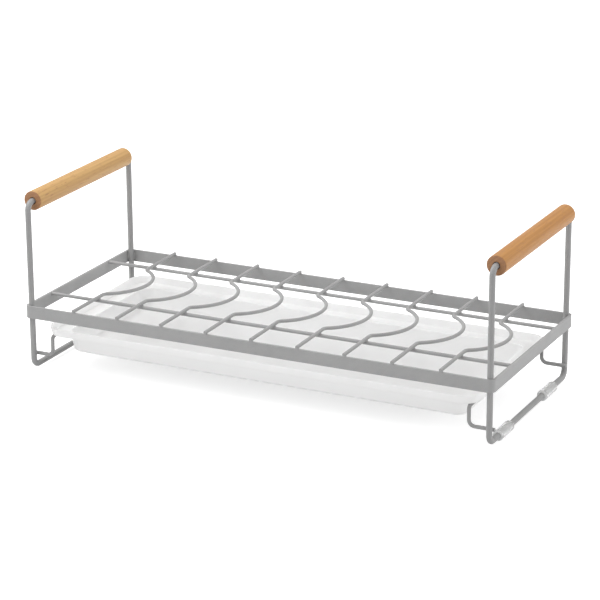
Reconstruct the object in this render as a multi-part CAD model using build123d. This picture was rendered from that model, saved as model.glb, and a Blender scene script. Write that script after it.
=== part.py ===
"""Bottle drying rack: a painted wire deck on two end loops, wooden handles, clear feet, a sliding drip tray.

Millimetres, +Z up. The origin is on the floor under the middle of the rack; +X runs along its length
towards the side that the deck's hoops bulge to, and -Y is the front, where the tray pulls out.
"""
import os
from math import atan2, cos, degrees, radians, sqrt, tan

from build123d import *

# Wires and the gap that a weld closes between two of them
LOOP_WIRE = 5.0
DECK_WIRE = 3.0
SUPPORT_WIRE = 3.2
WELD_GAP = 0.05

# Rim: a flat band bent into a rectangle round the deck
RIM_LENGTH = 424.7
RIM_DEPTH = 177.1
RIM_HEIGHT = 10.6
RIM_THICKNESS = 2.0
RIM_TOP_Z = 58.9

# End loops: a closed rectangle of wire at each end, standing inside the rim's corners
HANDLE_AXIS_Z = 148.1
LOOP_TOP_BEND = 7.0
LOOP_FOOT_BEND = 7.0

# Wooden handles, turning on the loops' top bars
HANDLE_DIAMETER = 16.5
HANDLE_CLEARANCE = 0.7
HANDLE_END_GAP = 0.5
HANDLE_EDGE_ROUND = 0.8

# Clear tubes round the loops' foot bars, which the rack stands on
SLEEVE_DIAMETER = 9.0
SLEEVE_LENGTH = 24.0
SLEEVE_FIT = 0.1
SLEEVE_EDGE_ROUND = 0.5
REAR_SLEEVE_FROM_LEG = 40.5
RIGHT_FRONT_SLEEVE_FROM_LEG = 30.5
LEFT_FRONT_SLEEVE_Y = 2.0

# Deck: cross wires with a hoop each, lying on the rim and on two long wires
CROSS_WIRE_COUNT = 9
LEFT_BAY = 45.6
RIGHT_BAY = 42.6
HOOP_RADIUS = 41.3
HOOP_REACH = 21.6
HOOP_KINK_RADIUS = 5.0
HOOP_CENTRE_Y = -1.0
CROSS_WIRE_END_ROUND = 0.5
LONG_WIRE_FRONT_INSET = 41.5
LONG_WIRE_REAR_INSET = 38.5

# Tray supports: a wire at each end that carries the tray on a raised rail
LEFT_RAIL_INSET = 16.5
RIGHT_RAIL_INSET = 19.0
RAIL_AXIS_Z = 31.5
SUPPORT_FOOT_Z = 15.0
SUPPORT_FOOT_BEND = 5.0
SUPPORT_RAIL_BEND = 3.0
SUPPORT_TAIL = 3.0

# Drip tray: a basin with a ledge that rests on the rails and a raised border
TRAY_END_GAP = 10.5
TRAY_SETBACK = 9.2
TRAY_CORNER_RADIUS = 14.0
TRAY_WALL = 1.5
TRAY_BORDER_HEIGHT = 7.5
TRAY_BORDER_DRAFT_DEGREES = 14.0
TRAY_REST_GAP = 0.3
TRAY_LEDGE = 11.2
TRAY_BASIN_DEPTH = 16.8
TRAY_BASIN_RADIUS = 13.0
TRAY_BASIN_DRAFT_DEGREES = 12.0
TRAY_BASIN_ROUND = 4.0
TRAY_LIP_ROUND = 1.6
TRAY_REST_Y = -4.7

# Places that follow from the sizes above
FOOT_AXIS_Z = SLEEVE_DIAMETER / 2
INNER_X = RIM_LENGTH / 2 - RIM_THICKNESS
INNER_Y = RIM_DEPTH / 2 - RIM_THICKNESS
LEG_X = INNER_X - WELD_GAP - LOOP_WIRE / 2
LEG_Y = INNER_Y - WELD_GAP - LOOP_WIRE / 2
RAIL_END_Y = LEG_Y - (LOOP_WIRE + SUPPORT_WIRE) / 2 - WELD_GAP
LEDGE_Z = RAIL_AXIS_Z + SUPPORT_WIRE / 2 + TRAY_REST_GAP
CROSS_WIRE_Z = RIM_TOP_Z + WELD_GAP + DECK_WIRE / 2
LONG_WIRE_Z = RIM_TOP_Z - DECK_WIRE / 2
ENDS = {"left": -1, "right": 1}


def bent_wire(path, diameter):
    """Round wire along a path."""
    start = Plane(origin=path @ 0, z_dir=path % 0)
    return sweep(start * Circle(diameter / 2), path=path)


def tube_along_y(outer, bore, length, edge_round):
    """Tube about the Y axis, centred on the origin, with softened outer ends."""
    tube = Cylinder(outer / 2, length)
    tube = fillet(tube.edges(), edge_round)
    tube -= Cylinder(bore / 2, length)
    return Rot(90, 0, 0) * tube


def rim_band():
    corner = LOOP_WIRE / 2 + RIM_THICKNESS
    outer = RectangleRounded(RIM_LENGTH, RIM_DEPTH, corner)
    inner = RectangleRounded(2 * INNER_X, 2 * INNER_Y, corner - RIM_THICKNESS)
    band = extrude(outer - inner, RIM_HEIGHT)
    return Pos(0, 0, RIM_TOP_Z - RIM_HEIGHT) * band


def end_loop(side):
    """Foot bar, two legs and handle bar as one closed ring of wire."""
    x = side * LEG_X
    corners = [
        (x, -LEG_Y, FOOT_AXIS_Z),
        (x, LEG_Y, FOOT_AXIS_Z),
        (x, LEG_Y, HANDLE_AXIS_Z),
        (x, -LEG_Y, HANDLE_AXIS_Z),
    ]
    bends = [LOOP_FOOT_BEND, LOOP_FOOT_BEND, LOOP_TOP_BEND, LOOP_TOP_BEND]
    return bent_wire(FilletPolyline(*corners, radius=bends, close=True), LOOP_WIRE)


def handle(side):
    length = 2 * (LEG_Y - LOOP_TOP_BEND - HANDLE_END_GAP)
    bore = LOOP_WIRE + 2 * HANDLE_CLEARANCE
    dowel = tube_along_y(HANDLE_DIAMETER, bore, length, HANDLE_EDGE_ROUND)
    return Pos(side * LEG_X, 0, HANDLE_AXIS_Z) * dowel


def foot_sleeve(side, y):
    sleeve = tube_along_y(SLEEVE_DIAMETER, LOOP_WIRE + 2 * SLEEVE_FIT, SLEEVE_LENGTH, SLEEVE_EDGE_ROUND)
    return Pos(side * LEG_X, y, FOOT_AXIS_Z) * sleeve


def cross_wire_x(index):
    pitch = (2 * INNER_X - LEFT_BAY - RIGHT_BAY) / (CROSS_WIRE_COUNT - 1)
    return -INNER_X + LEFT_BAY + index * pitch


def cross_wire(index):
    """Straight ends across the rim, joined by a hoop that bulges towards +X between two tight kinks."""
    centre_back = HOOP_RADIUS - HOOP_REACH
    between_x = centre_back + HOOP_KINK_RADIUS
    between_y = sqrt((HOOP_RADIUS + HOOP_KINK_RADIUS) ** 2 - between_x**2)
    turn = degrees(atan2(between_y, between_x))
    front_kink_y = HOOP_CENTRE_Y - between_y
    front = Line((0, -RIM_DEPTH / 2), (0, front_kink_y))
    kink_in = JernArc(front @ 1, front % 1, HOOP_KINK_RADIUS, -turn)
    hoop = JernArc(kink_in @ 1, kink_in % 1, HOOP_RADIUS, 2 * turn)
    kink_out = JernArc(hoop @ 1, hoop % 1, HOOP_KINK_RADIUS, -turn)
    rear = Line(kink_out @ 1, (0, RIM_DEPTH / 2))
    path = Wire([front, kink_in, hoop, kink_out, rear])
    wire = bent_wire(Pos(cross_wire_x(index), 0, CROSS_WIRE_Z) * path, DECK_WIRE)
    by_depth = wire.edges().group_by(Axis.Y)
    return fillet(by_depth[0] + by_depth[-1], CROSS_WIRE_END_ROUND)


def long_wire(y):
    length = 2 * (INNER_X - WELD_GAP)
    return Pos(0, y, LONG_WIRE_Z) * Rot(0, 90, 0) * Cylinder(DECK_WIRE / 2, length)


def tray_support(side, rail_inset):
    """From the front leg inwards, up, back along the rail, down and out to the rear leg."""
    tail_x = side * (LEG_X + SUPPORT_TAIL)
    rail_x = side * (LEG_X - rail_inset)
    points = [
        (tail_x, -RAIL_END_Y, SUPPORT_FOOT_Z),
        (rail_x, -RAIL_END_Y, SUPPORT_FOOT_Z),
        (rail_x, -RAIL_END_Y, RAIL_AXIS_Z),
        (rail_x, RAIL_END_Y, RAIL_AXIS_Z),
        (rail_x, RAIL_END_Y, SUPPORT_FOOT_Z),
        (tail_x, RAIL_END_Y, SUPPORT_FOOT_Z),
    ]
    bends = [SUPPORT_FOOT_BEND, SUPPORT_RAIL_BEND, SUPPORT_RAIL_BEND, SUPPORT_FOOT_BEND]
    return bent_wire(FilletPolyline(*points, radius=bends), SUPPORT_WIRE)


def drip_tray():
    length = 2 * (LEG_X - LOOP_WIRE / 2 - TRAY_END_GAP)
    depth = RIM_DEPTH - 2 * TRAY_SETBACK
    wall = TRAY_WALL
    lean = radians(TRAY_BORDER_DRAFT_DEGREES)
    border_inset = wall / cos(lean) - wall * tan(lean)

    def border_plan(inset):
        return RectangleRounded(length - 2 * inset, depth - 2 * inset, TRAY_CORNER_RADIUS - inset)

    def basin_plan(inset):
        across = 2 * (TRAY_LEDGE + inset)
        return RectangleRounded(length - across, depth - across, TRAY_BASIN_RADIUS - inset)

    outside = extrude(border_plan(0), TRAY_BORDER_HEIGHT, taper=-TRAY_BORDER_DRAFT_DEGREES)
    outside = fillet(outside.edges().group_by(Axis.Z)[0], TRAY_LIP_ROUND)
    basin = extrude(basin_plan(0), -TRAY_BASIN_DEPTH, taper=TRAY_BASIN_DRAFT_DEGREES)
    basin = fillet(basin.faces().sort_by(Axis.Z)[0].edges(), TRAY_BASIN_ROUND)
    pocket = extrude(border_plan(border_inset), TRAY_BORDER_HEIGHT, taper=-TRAY_BORDER_DRAFT_DEGREES)
    pocket = Pos(0, 0, wall) * pocket
    pocket = fillet(pocket.edges().group_by(Axis.Z)[0], TRAY_LIP_ROUND - wall / 2)
    hollow_depth = TRAY_BASIN_DEPTH - wall
    hollow = extrude(basin_plan(wall), -hollow_depth, taper=TRAY_BASIN_DRAFT_DEGREES)
    hollow = fillet(hollow.faces().sort_by(Axis.Z)[0].edges(), TRAY_BASIN_ROUND - wall)
    hollow += extrude(basin_plan(wall), 2 * wall)
    tray = outside + basin - pocket - hollow
    tray = fillet(tray.edges().group_by(Axis.Z)[-1], wall * 0.4)
    return Pos(0, TRAY_REST_Y, LEDGE_Z) * tray


def build_parts():
    parts = {"rim_band": rim_band(), "drip_tray": drip_tray()}
    front_sleeve_y = {"left": LEFT_FRONT_SLEEVE_Y, "right": RIGHT_FRONT_SLEEVE_FROM_LEG - LEG_Y}
    rail_inset = {"left": LEFT_RAIL_INSET, "right": RIGHT_RAIL_INSET}
    for end, side in ENDS.items():
        parts[f"end_loop_{end}"] = end_loop(side)
        parts[f"handle_{end}"] = handle(side)
        parts[f"tray_support_{end}"] = tray_support(side, rail_inset[end])
        parts[f"foot_sleeve_{end}_front"] = foot_sleeve(side, front_sleeve_y[end])
        parts[f"foot_sleeve_{end}_rear"] = foot_sleeve(side, LEG_Y - REAR_SLEEVE_FROM_LEG)
    parts["long_wire_front"] = long_wire(LONG_WIRE_FRONT_INSET - RIM_DEPTH / 2)
    parts["long_wire_rear"] = long_wire(RIM_DEPTH / 2 - LONG_WIRE_REAR_INSET)
    for index in range(CROSS_WIRE_COUNT):
        parts[f"cross_wire_{index + 1}"] = cross_wire(index)
    return parts


os.makedirs("parts", exist_ok=True)
for name, shape in build_parts().items():
    export_step(shape, f"parts/{name}.step")
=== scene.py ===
"""Looks of a bottle drying rack: painted steel, beech handles, clear foot tubes and a frosted tray.

Metres, +Z up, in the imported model's own frame: +X along the rack, -Y the front, the floor at 0.
"""
import math

import bmesh
import bpy
from mathutils import Matrix, Vector


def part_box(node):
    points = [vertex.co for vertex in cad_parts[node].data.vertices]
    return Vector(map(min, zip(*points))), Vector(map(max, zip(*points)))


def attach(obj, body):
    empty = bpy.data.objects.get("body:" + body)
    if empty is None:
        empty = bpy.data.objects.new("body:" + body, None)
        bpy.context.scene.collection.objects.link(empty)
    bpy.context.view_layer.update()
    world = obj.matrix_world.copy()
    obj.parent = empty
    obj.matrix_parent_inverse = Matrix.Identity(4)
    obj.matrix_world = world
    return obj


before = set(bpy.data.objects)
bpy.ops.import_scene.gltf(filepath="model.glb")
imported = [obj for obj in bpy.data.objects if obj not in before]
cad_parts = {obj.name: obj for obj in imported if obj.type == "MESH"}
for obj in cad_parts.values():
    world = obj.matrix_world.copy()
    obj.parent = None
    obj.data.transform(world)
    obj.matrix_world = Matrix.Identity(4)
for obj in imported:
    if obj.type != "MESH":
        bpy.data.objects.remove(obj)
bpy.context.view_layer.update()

# Camera: the direction that it looks from in degrees, its distance, and the point that it looks at
VIEW_AZIMUTH = 26.17
VIEW_ELEVATION = 18.67
VIEW_ROLL = -0.323
VIEW_DISTANCE = 2.106
VIEW_TARGET = Vector((-0.0095, 0.0251, 0.0582))
VIEW_LENS = 149.12
SENSOR = 36.0
FAR_CLIP = 50

# Studio: three round lamps, a light from all sides that grows towards overhead, and a pale floor
LAMP_TARGET = (0, 0, 0.05)
LAMPS = {
    "key": {"place": (-0.7, -0.3, 1.0), "size": 0.6, "power": 6.5},
    "top": {"place": (-0.3, 0.3, 2.2), "size": 1.5, "power": 7.0},
    "fill": {"place": (1.5, 0.5, 0.5), "size": 0.6, "power": 4.2},
}
SIDE_LIGHT = 0.88
OVERHEAD_LIGHT = 1.02
FLOOR_SIZE = 12
FLOOR_TONE = 0.71
FLOOR_GLOW = 0.66

# Paint: one grey coat on the whole frame; the rim has its grey, and the thin wires and the end loops get
# darker copies of it as painted shade
BAND_TONE = 0.352
WIRE_TONE_WITH_PAINTED_SHADE = 0.342
LOOP_TONE_WITH_PAINTED_SHADE = 0.328

# Beech: each dowel's two colours and the X and Z of its tree's heart, then what both share
LEFT_BEECH = {
    "pale": (0.614, 0.372, 0.139),
    "streak": (0.520, 0.277, 0.093),
    "heart": (-0.190, 0.120),
}
RIGHT_BEECH = {
    "pale": (0.548, 0.257, 0.062),
    "streak": (0.458, 0.191, 0.040),
    "heart": (0.230, 0.125),
}
RING_SHADE = 0.72
FIBRE_SHADE = 0.62
RAY_COLOUR = (0.36, 0.155, 0.075)

# End grain: its colours, and how far inside the end face it starts and is complete; on the sides this band
# is partly real end grain on the chamfer and partly painted shade along the cut edge
END_PALE = (0.45, 0.23, 0.105)
END_DARK = (0.29, 0.132, 0.058)
END_RING = (0.13, 0.05, 0.02)
END_STARTS = 0.0009
END_COMPLETE = 0.0001

# Clear tubes: how much light goes through their round sides and through their cut ends
SIDE_CLEARNESS = 0.70
CUT_CLEARNESS = 0.05

# Radii of the wires that the welds join, and half the rim's thickness
DECK_WIRE_RADIUS = 0.0015
SUPPORT_WIRE_RADIUS = 0.0016
LOOP_WIRE_RADIUS = 0.0025
RIM_HALF_THICKNESS = 0.0010

# Welds: half their size along X, Y and Z, how far a crossing's weld swells into the four corners, and how
# far the butt and leg welds lie from the wires' centres
CROSSING_WELD = (0.0019, 0.0019, 0.0008)
CROSSING_LOBES = 0.16
RIM_WELD = (0.0019, 0.0013, 0.0008)
BUTT_WELD = (0.0008, 0.0021, 0.0016)
BUTT_DROP = 0.0002
LEG_WELD = (0.0010, 0.0010, 0.0033)
LEG_WELD_OUT = 0.0020
LEG_WELD_ALONG = 0.0021
SUPPORT_WELD = (0.0020, 0.0007, 0.0020)

# A weld's form: 1 makes it an ellipsoid, and less fills out its shoulders
PILLOW_POWER = 0.8

# A Mix node's colour sockets, by number because their names repeat for each data type
MIX_FACTOR = 0
MIX_FIRST = 6
MIX_SECOND = 7
MIX_RESULT = 2


def new_material(name):
    """An empty node material, and the node tree to build it in."""
    material = bpy.data.materials.new(name)
    material.use_nodes = True
    material.node_tree.nodes.clear()
    return material, material.node_tree


def set_inputs(node, **values):
    """Set a node's sockets by name, with _ for each space in the name."""
    for name, value in values.items():
        node.inputs[name.replace("_", " ")].default_value = value


def object_space(tree, scale=(1, 1, 1), shift=(0, 0, 0)):
    """The piece's own coordinates in metres, scaled and then moved, so that patterns stay on it."""
    coordinates = tree.nodes.new("ShaderNodeTexCoord")
    mapping = tree.nodes.new("ShaderNodeMapping")
    set_inputs(mapping, Location=shift, Scale=scale)
    tree.links.new(coordinates.outputs["Object"], mapping.inputs["Vector"])
    return mapping.outputs["Vector"]


def noise(tree, vector, scale, detail=3.0, roughness=0.5, distortion=0.0):
    texture = tree.nodes.new("ShaderNodeTexNoise")
    set_inputs(texture, Scale=scale, Detail=detail, Roughness=roughness, Distortion=distortion)
    tree.links.new(vector, texture.inputs["Vector"])
    return texture.outputs["Fac"]


def growth_rings(tree, vector):
    """Cylinders of early and late wood round the tree's heart, which runs along Y."""
    rings = tree.nodes.new("ShaderNodeTexWave")
    rings.wave_type = "RINGS"
    rings.rings_direction = "Y"
    set_inputs(rings, Scale=105, Distortion=3.5, Detail=3.0, Detail_Scale=0.6)
    tree.links.new(vector, rings.inputs["Vector"])
    return rings.outputs["Fac"]


def remap(tree, value, low, high, to_low=0.0, to_high=1.0):
    """The span from low to high, moved to the span from to_low to to_high and cut off past it."""
    spread = tree.nodes.new("ShaderNodeMapRange")
    set_inputs(spread, From_Min=low, From_Max=high, To_Min=to_low, To_Max=to_high)
    tree.links.new(value, spread.inputs["Value"])
    return spread.outputs["Result"]


def size_along_y(tree, vector):
    """How far a point lies from the middle along Y, or how squarely a face looks along it."""
    parts = tree.nodes.new("ShaderNodeSeparateXYZ")
    tree.links.new(vector, parts.inputs[0])
    size = tree.nodes.new("ShaderNodeMath")
    size.operation = "ABSOLUTE"
    tree.links.new(parts.outputs["Y"], size.inputs[0])
    return size.outputs[0]


def blend_colours(tree, factor, first, second):
    """The colour between two others; each is a tuple or another node's output."""
    mix = tree.nodes.new("ShaderNodeMix")
    mix.data_type = "RGBA"
    tree.links.new(factor, mix.inputs[MIX_FACTOR])
    for number, colour in ((MIX_FIRST, first), (MIX_SECOND, second)):
        if isinstance(colour, tuple):
            mix.inputs[number].default_value = (*colour, 1)
        else:
            tree.links.new(colour, mix.inputs[number])
    return mix.outputs[MIX_RESULT]


def shaded(colour, factor):
    return tuple(factor * part for part in colour)


def bump(tree, height, strength, distance, below=None):
    """Small relief, on top of the relief below it if there is one."""
    node = tree.nodes.new("ShaderNodeBump")
    set_inputs(node, Strength=strength, Distance=distance)
    tree.links.new(height, node.inputs["Height"])
    if below is not None:
        tree.links.new(below, node.inputs["Normal"])
    return node.outputs["Normal"]


def principled(tree, colour, roughness, normal, **values):
    """The shader and the material's output; constant values go on the shader's own sockets."""
    surface = tree.nodes.new("ShaderNodeBsdfPrincipled")
    tree.links.new(colour, surface.inputs["Base Color"])
    tree.links.new(roughness, surface.inputs["Roughness"])
    tree.links.new(normal, surface.inputs["Normal"])
    set_inputs(surface, **values)
    output = tree.nodes.new("ShaderNodeOutputMaterial")
    tree.links.new(surface.outputs[0], output.inputs["Surface"])
    return surface


def painted_steel(name, tone):
    """Satin silver-grey powder coat: a slow change of tone, a fine speckle and a slight orange peel."""
    material, tree = new_material(name)
    space = object_space(tree)
    clouds = noise(tree, space, scale=45)
    speckle = noise(tree, space, scale=1500, detail=2.0, roughness=0.6)
    peel = noise(tree, space, scale=420, detail=2.0)

    deep = (0.94 * tone, 0.94 * tone, 0.945 * tone)
    pale = (1.04 * tone, 1.04 * tone, 1.04 * tone)
    glint = (1.25 * tone, 1.25 * tone, 1.25 * tone)
    base = blend_colours(tree, remap(tree, clouds, 0.3, 0.7), deep, pale)
    grain = remap(tree, speckle, 0.35, 0.75, to_high=0.45)
    colour = blend_colours(tree, grain, base, glint)

    gloss = remap(tree, speckle, 0.3, 0.7, to_low=0.44, to_high=0.54)
    normal = bump(tree, peel, strength=0.25, distance=0.0001)
    normal = bump(tree, speckle, strength=0.15, distance=0.00004, below=normal)
    principled(tree, colour, gloss, normal, Metallic=0.05, Specular_IOR_Level=0.30)
    return material


def beech(name, half_length, pale, streak, heart):
    """Oiled beech along Y: arcs of growth rings, fine fibres, short rays, and browner end grain, which
    reaches onto the sides near the ends partly as painted shade along the cut edges.
    """
    material, tree = new_material(name)
    space = object_space(tree)
    trunk_space = object_space(tree, (1, 0.035, 1), (-heart[0], 0, -heart[1]))
    fibre_space = object_space(tree, (1, 0.02, 1))
    ray_space = object_space(tree, (1, 0.10, 1))
    rings = growth_rings(tree, trunk_space)
    fibres = noise(tree, fibre_space, scale=900, detail=4.0, roughness=0.62)
    broad = noise(tree, fibre_space, scale=210, roughness=0.55, distortion=0.4)
    rays = noise(tree, ray_space, scale=1300, detail=1.0)
    pores = noise(tree, space, scale=1700, roughness=0.7)

    broad_share = remap(tree, broad, 0.35, 0.68, to_high=0.7)
    colour = blend_colours(tree, broad_share, pale, streak)
    ring_share = remap(tree, rings, 0.2, 0.95, to_high=0.16)
    colour = blend_colours(tree, ring_share, colour, shaded(streak, RING_SHADE))
    fibre_share = remap(tree, fibres, 0.42, 0.75, to_high=0.25)
    colour = blend_colours(tree, fibre_share, colour, shaded(streak, FIBRE_SHADE))
    ray_share = remap(tree, rays, 0.63, 0.70, to_high=0.5)
    colour = blend_colours(tree, ray_share, colour, RAY_COLOUR)

    # Near each end the end-grain colour reaches onto the sides: partly real end grain on the chamfer,
    # partly painted shade along the cut edge
    along = size_along_y(tree, space)
    end_grain_and_edge_shade_share = remap(tree, along, half_length - END_STARTS, half_length - END_COMPLETE)
    end_colour = blend_colours(tree, remap(tree, pores, 0.35, 0.7), END_PALE, END_DARK)
    end_colour = blend_colours(tree, ring_share, end_colour, END_RING)
    colour = blend_colours(tree, end_grain_and_edge_shade_share, colour, end_colour)

    gloss = remap(tree, fibres, 0.3, 0.7, to_low=0.42, to_high=0.56)
    normal = bump(tree, fibres, strength=0.35, distance=0.00008)
    principled(tree, colour, gloss, normal)
    return material


def frosted_plastic():
    """Milky polypropylene: a matt skin, a little waviness from moulding and light coming through."""
    material, tree = new_material("frosted_plastic")
    space = object_space(tree)
    clouds = noise(tree, space, scale=16, detail=2.0)
    matt = noise(tree, space, scale=2200, detail=2.0, roughness=0.6)
    waves = noise(tree, space, scale=30, detail=2.0)

    tone = remap(tree, clouds, 0.3, 0.7)
    colour = blend_colours(tree, tone, (0.900, 0.903, 0.901), (0.935, 0.937, 0.935))
    gloss = remap(tree, matt, 0.3, 0.7, to_low=0.42, to_high=0.55)
    normal = bump(tree, waves, strength=0.15, distance=0.001)
    normal = bump(tree, matt, strength=0.12, distance=0.00004, below=normal)
    principled(
        tree, colour, gloss, normal,
        Subsurface_Weight=1.0, Subsurface_Scale=0.0075, Subsurface_Radius=(1.0, 1.0, 1.0),
    )
    return material


def clear_tube():
    """Slightly cloudy soft vinyl, clear enough to show the wire inside it, and milky where it is cut."""
    material, tree = new_material("clear_tube")
    haze = noise(tree, object_space(tree), scale=260, detail=2.0)
    drawn = noise(tree, object_space(tree, (1, 0.06, 1)), scale=900, detail=2.0)

    tone = remap(tree, haze, 0.3, 0.7)
    colour = blend_colours(tree, tone, (0.93, 0.935, 0.935), (0.97, 0.972, 0.972))
    gloss = remap(tree, drawn, 0.3, 0.7, to_low=0.12, to_high=0.24)
    normal = bump(tree, drawn, strength=0.2, distance=0.00006)
    surface = principled(tree, colour, gloss, normal, IOR=1.16)
    facing = tree.nodes.new("ShaderNodeTexCoord").outputs["Normal"]
    clearness = remap(tree, size_along_y(tree, facing), 0.3, 0.9, SIDE_CLEARNESS, CUT_CLEARNESS)
    tree.links.new(clearness, surface.inputs["Transmission Weight"])
    return material


def make_camera():
    azimuth = math.radians(VIEW_AZIMUTH)
    elevation = math.radians(VIEW_ELEVATION)
    roll = math.radians(VIEW_ROLL)
    back = Vector((
        math.sin(azimuth) * math.cos(elevation),
        -math.cos(azimuth) * math.cos(elevation),
        math.sin(elevation),
    ))
    level = Vector((math.cos(azimuth), math.sin(azimuth), 0))
    right = math.cos(roll) * level + math.sin(roll) * back.cross(level)
    up = back.cross(right)
    data = bpy.data.cameras.new("camera")
    data.lens = VIEW_LENS
    data.sensor_width = SENSOR
    data.clip_end = FAR_CLIP
    camera = bpy.data.objects.new("camera", data)
    rotation = Matrix((right, up, back)).transposed().to_4x4()
    camera.matrix_world = Matrix.Translation(VIEW_TARGET + VIEW_DISTANCE * back) @ rotation
    bpy.context.scene.collection.objects.link(camera)
    bpy.context.scene.camera = camera


def area_light(name, place, size, power):
    data = bpy.data.lights.new(name, "AREA")
    data.shape = "DISK"
    data.size = size
    data.energy = power
    lamp = bpy.data.objects.new(name, data)
    direction = Vector(LAMP_TARGET) - Vector(place)
    rotation = direction.to_track_quat("-Z", "Y").to_matrix().to_4x4()
    lamp.matrix_world = Matrix.Translation(place) @ rotation
    bpy.context.scene.collection.objects.link(lamp)


def seen_directly(tree):
    """1 for rays from the camera, off a gloss or through plastic, and 0 for light that falls on things."""
    path = tree.nodes.new("ShaderNodeLightPath")
    total = path.outputs["Is Camera Ray"]
    for name in ("Is Glossy Ray", "Is Transmission Ray"):
        either = tree.nodes.new("ShaderNodeMath")
        either.operation = "MAXIMUM"
        tree.links.new(total, either.inputs[0])
        tree.links.new(path.outputs[name], either.inputs[1])
        total = either.outputs[0]
    return total


def make_world():
    """Soft light from all sides, stronger from above, and white behind all that is seen or mirrored."""
    world = bpy.data.worlds.new("world")
    bpy.context.scene.world = world
    world.use_nodes = True
    tree = world.node_tree
    tree.nodes.clear()
    coordinates = tree.nodes.new("ShaderNodeTexCoord")
    direction = tree.nodes.new("ShaderNodeSeparateXYZ")
    tree.links.new(coordinates.outputs["Generated"], direction.inputs[0])
    light = remap(tree, direction.outputs["Z"], 0.0, 1.0, SIDE_LIGHT, OVERHEAD_LIGHT)
    strength = tree.nodes.new("ShaderNodeMapRange")
    tree.links.new(seen_directly(tree), strength.inputs["Value"])
    tree.links.new(light, strength.inputs["To Min"])
    background = tree.nodes.new("ShaderNodeBackground")
    tree.links.new(strength.outputs["Result"], background.inputs["Strength"])
    output = tree.nodes.new("ShaderNodeOutputWorld")
    tree.links.new(background.outputs[0], output.inputs["Surface"])


def make_floor():
    """A plain pale floor that melts into the background and keeps the rack's soft shadow."""
    bpy.ops.mesh.primitive_plane_add(size=FLOOR_SIZE)
    floor = bpy.context.object
    floor.name = "floor"
    material, tree = new_material("floor")
    diffuse = tree.nodes.new("ShaderNodeBsdfDiffuse")
    set_inputs(diffuse, Color=(FLOOR_TONE, FLOOR_TONE, FLOOR_TONE, 1))
    glow = tree.nodes.new("ShaderNodeEmission")
    strength = remap(tree, seen_directly(tree), 0.0, 1.0, to_high=FLOOR_GLOW)
    tree.links.new(strength, glow.inputs["Strength"])
    both = tree.nodes.new("ShaderNodeAddShader")
    tree.links.new(diffuse.outputs[0], both.inputs[0])
    tree.links.new(glow.outputs[0], both.inputs[1])
    output = tree.nodes.new("ShaderNodeOutputMaterial")
    tree.links.new(both.outputs[0], output.inputs["Surface"])
    floor.data.materials.append(material)


def middle(box):
    low, high = (Vector(corner) for corner in box)
    return (low + high) / 2


def add_weld(mesh, centre, half, lobes=0.0, around=24, rings=12):
    """A flat pillow of metal; with lobes it swells into the four corners of a crossing."""
    rows = []
    for ring in range(1, rings):
        tilt = math.pi * ring / rings
        row = []
        for step in range(around):
            turn = math.tau * step / around
            spread = math.sin(tilt) ** PILLOW_POWER * (1 - lobes * math.cos(4 * turn))
            offset = Vector((spread * math.cos(turn), spread * math.sin(turn), math.cos(tilt)))
            row.append(mesh.verts.new(centre + offset * Vector(half)))
        rows.append(row)
    top = mesh.verts.new(centre + Vector((0, 0, half[2])))
    bottom = mesh.verts.new(centre - Vector((0, 0, half[2])))
    for step in range(around):
        after = (step + 1) % around
        mesh.faces.new((top, rows[0][step], rows[0][after]))
        mesh.faces.new((bottom, rows[-1][after], rows[-1][step]))
        for upper, lower in zip(rows, rows[1:]):
            mesh.faces.new((upper[step], lower[step], lower[after], upper[after]))


def finish_welds(mesh, name, paint):
    """Turn the built mesh into an object that belongs to the rack's frame."""
    bmesh.ops.recalc_face_normals(mesh, faces=mesh.faces)
    data = bpy.data.meshes.new(name)
    mesh.to_mesh(data)
    mesh.free()
    for face in data.polygons:
        face.use_smooth = True
    data.materials.append(paint)
    piece = bpy.data.objects.new(name, data)
    bpy.context.scene.collection.objects.link(piece)
    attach(piece, "frame")


def weld_crossings(paint):
    """Where the cross wires lie on the long wires and on the rim's upper edge."""
    rim_low, rim_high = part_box("rim_band")
    long_wire_y = [middle(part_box(name)).y for name in ("long_wire_front", "long_wire_rear")]
    rim_edge_y = [rim_low[1] + RIM_HALF_THICKNESS, rim_high[1] - RIM_HALF_THICKNESS]
    mesh = bmesh.new()
    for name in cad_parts:
        if name.startswith("cross_wire_"):
            # The hoops bulge towards +X, so the straight ends are what reaches furthest to -X
            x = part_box(name)[0][0] + DECK_WIRE_RADIUS
            for y in long_wire_y:
                add_weld(mesh, Vector((x, y, rim_high[2])), CROSSING_WELD, CROSSING_LOBES)
            for y in rim_edge_y:
                add_weld(mesh, Vector((x, y, rim_high[2])), RIM_WELD)
    finish_welds(mesh, "welds_crossings", paint)


def weld_long_wires(paint):
    """Fillets round the ends of the long wires, on the rim's inner faces."""
    mesh = bmesh.new()
    for name in ("long_wire_front", "long_wire_rear"):
        low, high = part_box(name)
        centre = middle((low, high))
        for x in (low[0], high[0]):
            add_weld(mesh, Vector((x, centre.y, centre.z - BUTT_DROP)), BUTT_WELD)
    finish_welds(mesh, "welds_long_wires", paint)


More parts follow.
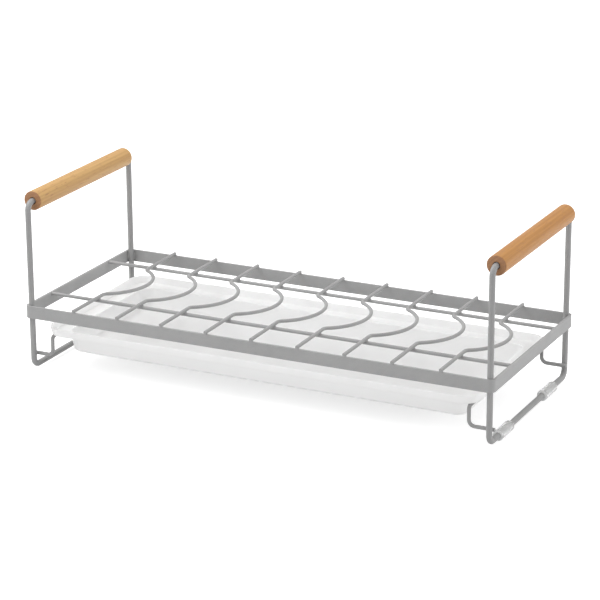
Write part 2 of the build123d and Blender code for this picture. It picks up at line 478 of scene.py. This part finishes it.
def weld_legs(paint):
    """Upright beads in the corners between each leg and the two faces of the rim beside it."""
    rim_middle = middle(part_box("rim_band"))
    mesh = bmesh.new()
    for loop_name, end in (("end_loop_left", -1), ("end_loop_right", 1)):
        low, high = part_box(loop_name)
        leg_x = middle((low, high)).x
        for leg_y, side in ((low[1] + LOOP_WIRE_RADIUS, -1), (high[1] - LOOP_WIRE_RADIUS, 1)):
            on_end = Vector((leg_x + end * LEG_WELD_OUT, leg_y - side * LEG_WELD_ALONG, rim_middle.z))
            on_side = Vector((leg_x - end * LEG_WELD_ALONG, leg_y + side * LEG_WELD_OUT, rim_middle.z))
            for spot in (on_end, on_side):
                add_weld(mesh, spot, LEG_WELD, around=20, rings=16)
    finish_welds(mesh, "welds_legs", paint)


def weld_supports(paint):
    """Where the feet of the tray supports cross the legs on the inside."""
    mesh = bmesh.new()
    for end in ("left", "right"):
        leg_x = middle(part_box(f"end_loop_{end}")).x
        low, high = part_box(f"tray_support_{end}")
        for y in (low[1], high[1]):
            add_weld(mesh, Vector((leg_x, y, low[2] + SUPPORT_WIRE_RADIUS)), SUPPORT_WELD)
    finish_welds(mesh, "welds_supports", paint)


def dress():
    """Give every solid its finish, and add the welds."""
    band_paint = painted_steel("painted_band", BAND_TONE)
    # The thin wires and the end loops share the rim's coat; their darker paints are painted shade on the
    # round wires
    wire_paint_with_painted_shade = painted_steel("painted_wire", WIRE_TONE_WITH_PAINTED_SHADE)
    loop_paint_with_painted_shade = painted_steel("painted_loop", LOOP_TONE_WITH_PAINTED_SHADE)
    handle_low, handle_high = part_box("handle_left")
    handle_half = (handle_high[1] - handle_low[1]) / 2
    own_material = {
        "rim_band": band_paint,
        "end_loop_left": loop_paint_with_painted_shade,
        "end_loop_right": loop_paint_with_painted_shade,
        "handle_left": beech("beech_left", handle_half, **LEFT_BEECH),
        "handle_right": beech("beech_right", handle_half, **RIGHT_BEECH),
        "drip_tray": frosted_plastic(),
    }
    tube = clear_tube()
    for node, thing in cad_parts.items():
        usual = tube if node.startswith("foot_sleeve") else wire_paint_with_painted_shade
        thing.data.materials.clear()
        thing.data.materials.append(own_material.get(node, usual))
    weld_crossings(wire_paint_with_painted_shade)
    weld_long_wires(wire_paint_with_painted_shade)
    weld_legs(band_paint)
    weld_supports(loop_paint_with_painted_shade)


make_camera()
make_world()
make_floor()
for lamp_name, lamp in LAMPS.items():
    area_light(lamp_name, **lamp)
dress()
bpy.context.scene.view_settings.view_transform = "Standard"
